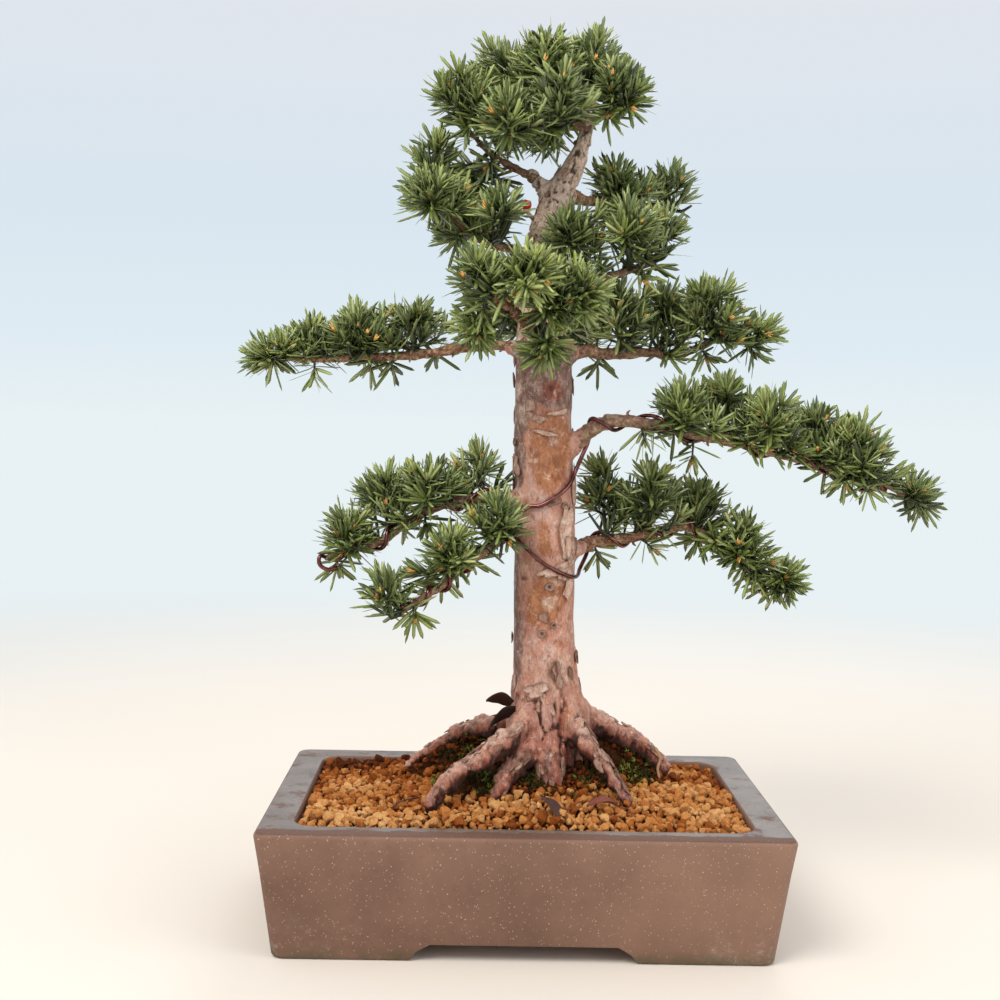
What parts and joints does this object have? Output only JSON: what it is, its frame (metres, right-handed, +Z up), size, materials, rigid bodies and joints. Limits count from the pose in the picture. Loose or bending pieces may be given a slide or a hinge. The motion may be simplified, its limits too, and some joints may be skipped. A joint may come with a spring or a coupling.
{
  "type": "japanese yew bonsai",
  "caption": "Evergreen needle-leaved bonsai with a straight flaky trunk, spreading surface roots, tiered wired branches and a low rectangular unglazed pot filled with grainy soil.",
  "frame": {"origin": "below the middle of the whole object, at the height of the pot's feet", "axes": "+Z up the trunk, -Y towards the front of the tree, +X to the right of someone who looks at the front"},
  "size_m": [0.508, 0.2938, 0.6353],
  "materials": {
    "stoneware": "unglazed matt stoneware, finely speckled",
    "soil": "baked clay grains, dull",
    "bark": "flaky bark, dull",
    "needles": "waxy needles, satin",
    "wire": "copper-brown anodised, glossy",
    "screen": "matt black",
    "aril": "fleshy, glossy"
  },
  "bodies": {
    "root": {"pot": "stoneware", "drain_screen_left": "screen", "drain_screen_right": "screen", "soil": "soil", "tree": "bark", "wire_upper": "wire", "wire_lower": "wire", "aril": "aril", "spray_left_high_1": "needles", "spray_left_high_2": "needles", "spray_left_high_3": "needles", "spray_left_high_4": "needles", "spray_front_1": "needles", "spray_front_2": "needles", "spray_front_fork_1": "needles", "spray_front_fork_2": "needles", "spray_front_fork_3": "needles", "spray_right_high_1": "needles", "spray_right_high_2": "needles", "spray_right_high_3": "needles", "spray_right_high_4": "needles", "spray_right_up_back_1": "needles", "spray_right_up_back_2": "needles", "spray_right_up_low_1": "needles", "spray_right_up_low_2": "needles", "spray_right_up_low_3": "needles", "spray_left_up_1": "needles", "spray_left_up_2": "needles", "spray_left_up_3": "needles", "spray_left_up_4": "needles", "spray_left_up_inner_1": "needles", "spray_crown_left_1": "needles", "spray_crown_left_2": "needles", "spray_crown_left_3": "needles", "spray_crown_top_1": "needles", "spray_crown_top_2": "needles", "spray_crown_right_1": "needles", "spray_crown_back_1": "needles", "spray_crown_back_2": "needles", "spray_right_mid_1": "needles", "spray_right_mid_2": "needles", "spray_right_mid_3": "needles", "spray_right_mid_4": "needles", "spray_right_mid_5": "needles", "spray_right_mid_6": "needles", "spray_right_low_1": "needles", "spray_right_low_2": "needles", "spray_right_low_3": "needles", "spray_right_low_4": "needles", "spray_right_low_5": "needles", "spray_left_low_back_1": "needles", "spray_left_low_back_2": "needles", "spray_left_low_back_3": "needles", "spray_left_low_back_4": "needles", "spray_left_low_front_1": "needles", "spray_left_low_front_2": "needles", "spray_left_low_front_3": "needles", "spray_back_1": "needles", "spray_back_2": "needles", "spray_back_3": "needles"}
  },
  "joints": []
}
